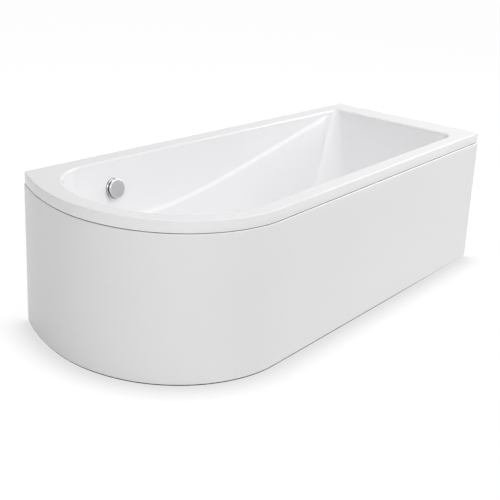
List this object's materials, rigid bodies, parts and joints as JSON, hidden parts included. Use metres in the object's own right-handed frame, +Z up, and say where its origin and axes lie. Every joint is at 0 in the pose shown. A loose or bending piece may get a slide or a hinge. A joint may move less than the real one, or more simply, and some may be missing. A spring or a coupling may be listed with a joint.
{
  "type": "asymmetric shower bath",
  "caption": "White acrylic shower bath with a straight wall side, square narrow end, round left end, one curved front panel, turning overflow knob and lifting plug on adjustable feet.",
  "frame": {"origin": "middle of the outer box, on the floor under the feet", "axes": "+X along the wall to the square end, -Y to the front, +Y to the wall, +Z up"},
  "size_m": [1.8, 0.8, 0.52],
  "materials": {
    "acrylic": "polished white sanitary acrylic",
    "panel_acrylic": "smooth white acrylic",
    "chrome": "bright plated",
    "timber": "raw chipboard and batten",
    "zinc_steel": "bright zinc plate",
    "foot_plastic": "moulded black",
    "white_fitting": "moulded white",
    "grey_hose": "moulded grey",
    "rubber_seal": "soft black",
    "brass_part": "turned",
    "cable_black": "extruded sheath"
  },
  "bodies": {
    "bath": {"bath_shell": "acrylic", "front_panel": "panel_acrylic", "overflow_ring": "chrome", "waste_flange": "chrome", "base_board": "timber", "rim_batten_front": "timber", "rim_batten_back": "timber", "rim_batten_end": "timber", "clip_blocks": "timber", "leg_rail_left": "zinc_steel", "leg_rail_right": "zinc_steel", "centre_bracket": "zinc_steel", "frame_screws": "zinc_steel", "lock_nuts": "zinc_steel", "panel_clips": "zinc_steel", "clip_screws": "zinc_steel", "panel_brackets": "zinc_steel", "end_stay": "zinc_steel", "bracket_screws": "zinc_steel", "wall_brackets": "zinc_steel", "lift_pin": "zinc_steel", "overflow_body": "white_fitting", "hose_nut_top": "white_fitting", "hose_nut_bottom": "white_fitting", "waste_body": "white_fitting", "trap_nut": "white_fitting", "trap_body": "white_fitting", "trap_dip_tube": "white_fitting", "overflow_hose": "grey_hose", "overflow_gasket": "rubber_seal", "waste_gasket": "rubber_seal", "trap_washer": "rubber_seal", "pull_cable": "cable_black"},
    "knob": {"overflow_knob": "chrome", "knob_spindle": "zinc_steel", "cable_cam": "brass_part"},
    "plug": {"popup_plug": "chrome", "plug_seal": "rubber_seal", "plug_stem": "zinc_steel"},
    "lever": {"lift_arm": "brass_part"},
    "foot_left_front": {"stud_left_front": "zinc_steel", "pad_left_front": "foot_plastic"},
    "foot_left_back": {"stud_left_back": "zinc_steel", "pad_left_back": "foot_plastic"},
    "foot_right_front": {"stud_right_front": "zinc_steel", "pad_right_front": "foot_plastic"},
    "foot_right_back": {"stud_right_back": "zinc_steel", "pad_right_back": "foot_plastic"},
    "foot_centre": {"stud_centre": "zinc_steel", "pad_centre": "foot_plastic"}
  },
  "joints": [
    {"name": "knob_turn", "type": "hinge", "parent": "bath", "child": "knob", "pos_m": [-0.485, 0.31913, 0.422], "axis": [0, -0.9848, 0.1736], "range_deg": [0, 90]},
    {"name": "plug_rise", "type": "slide", "parent": "bath", "child": "plug", "axis": [0, 0, 1], "range_m": [0, 0.01]},
    {"name": "lever_tilt", "type": "hinge", "parent": "bath", "child": "lever", "pos_m": [-0.485, 0.057, 0.086], "axis": [-1, 0, 0], "range_deg": [0, 26]},
    {"name": "foot_left_front_down", "type": "slide", "parent": "bath", "child": "foot_left_front", "axis": [0, 0, -1], "range_m": [0, 0.01]},
    {"name": "foot_left_back_down", "type": "slide", "parent": "bath", "child": "foot_left_back", "axis": [0, 0, -1], "range_m": [0, 0.01]},
    {"name": "foot_right_front_down", "type": "slide", "parent": "bath", "child": "foot_right_front", "axis": [0, 0, -1], "range_m": [0, 0.01]},
    {"name": "foot_right_back_down", "type": "slide", "parent": "bath", "child": "foot_right_back", "axis": [0, 0, -1], "range_m": [0, 0.01]},
    {"name": "foot_centre_down", "type": "slide", "parent": "bath", "child": "foot_centre", "axis": [0, 0, -1], "range_m": [0, 0.01]}
  ],
  "couplings": [
    {"joint": "plug_rise", "follows": "knob_turn", "m_per_rad": 0.006366},
    {"joint": "lever_tilt", "follows": "knob_turn", "ratio": 0.28888}
  ]
}
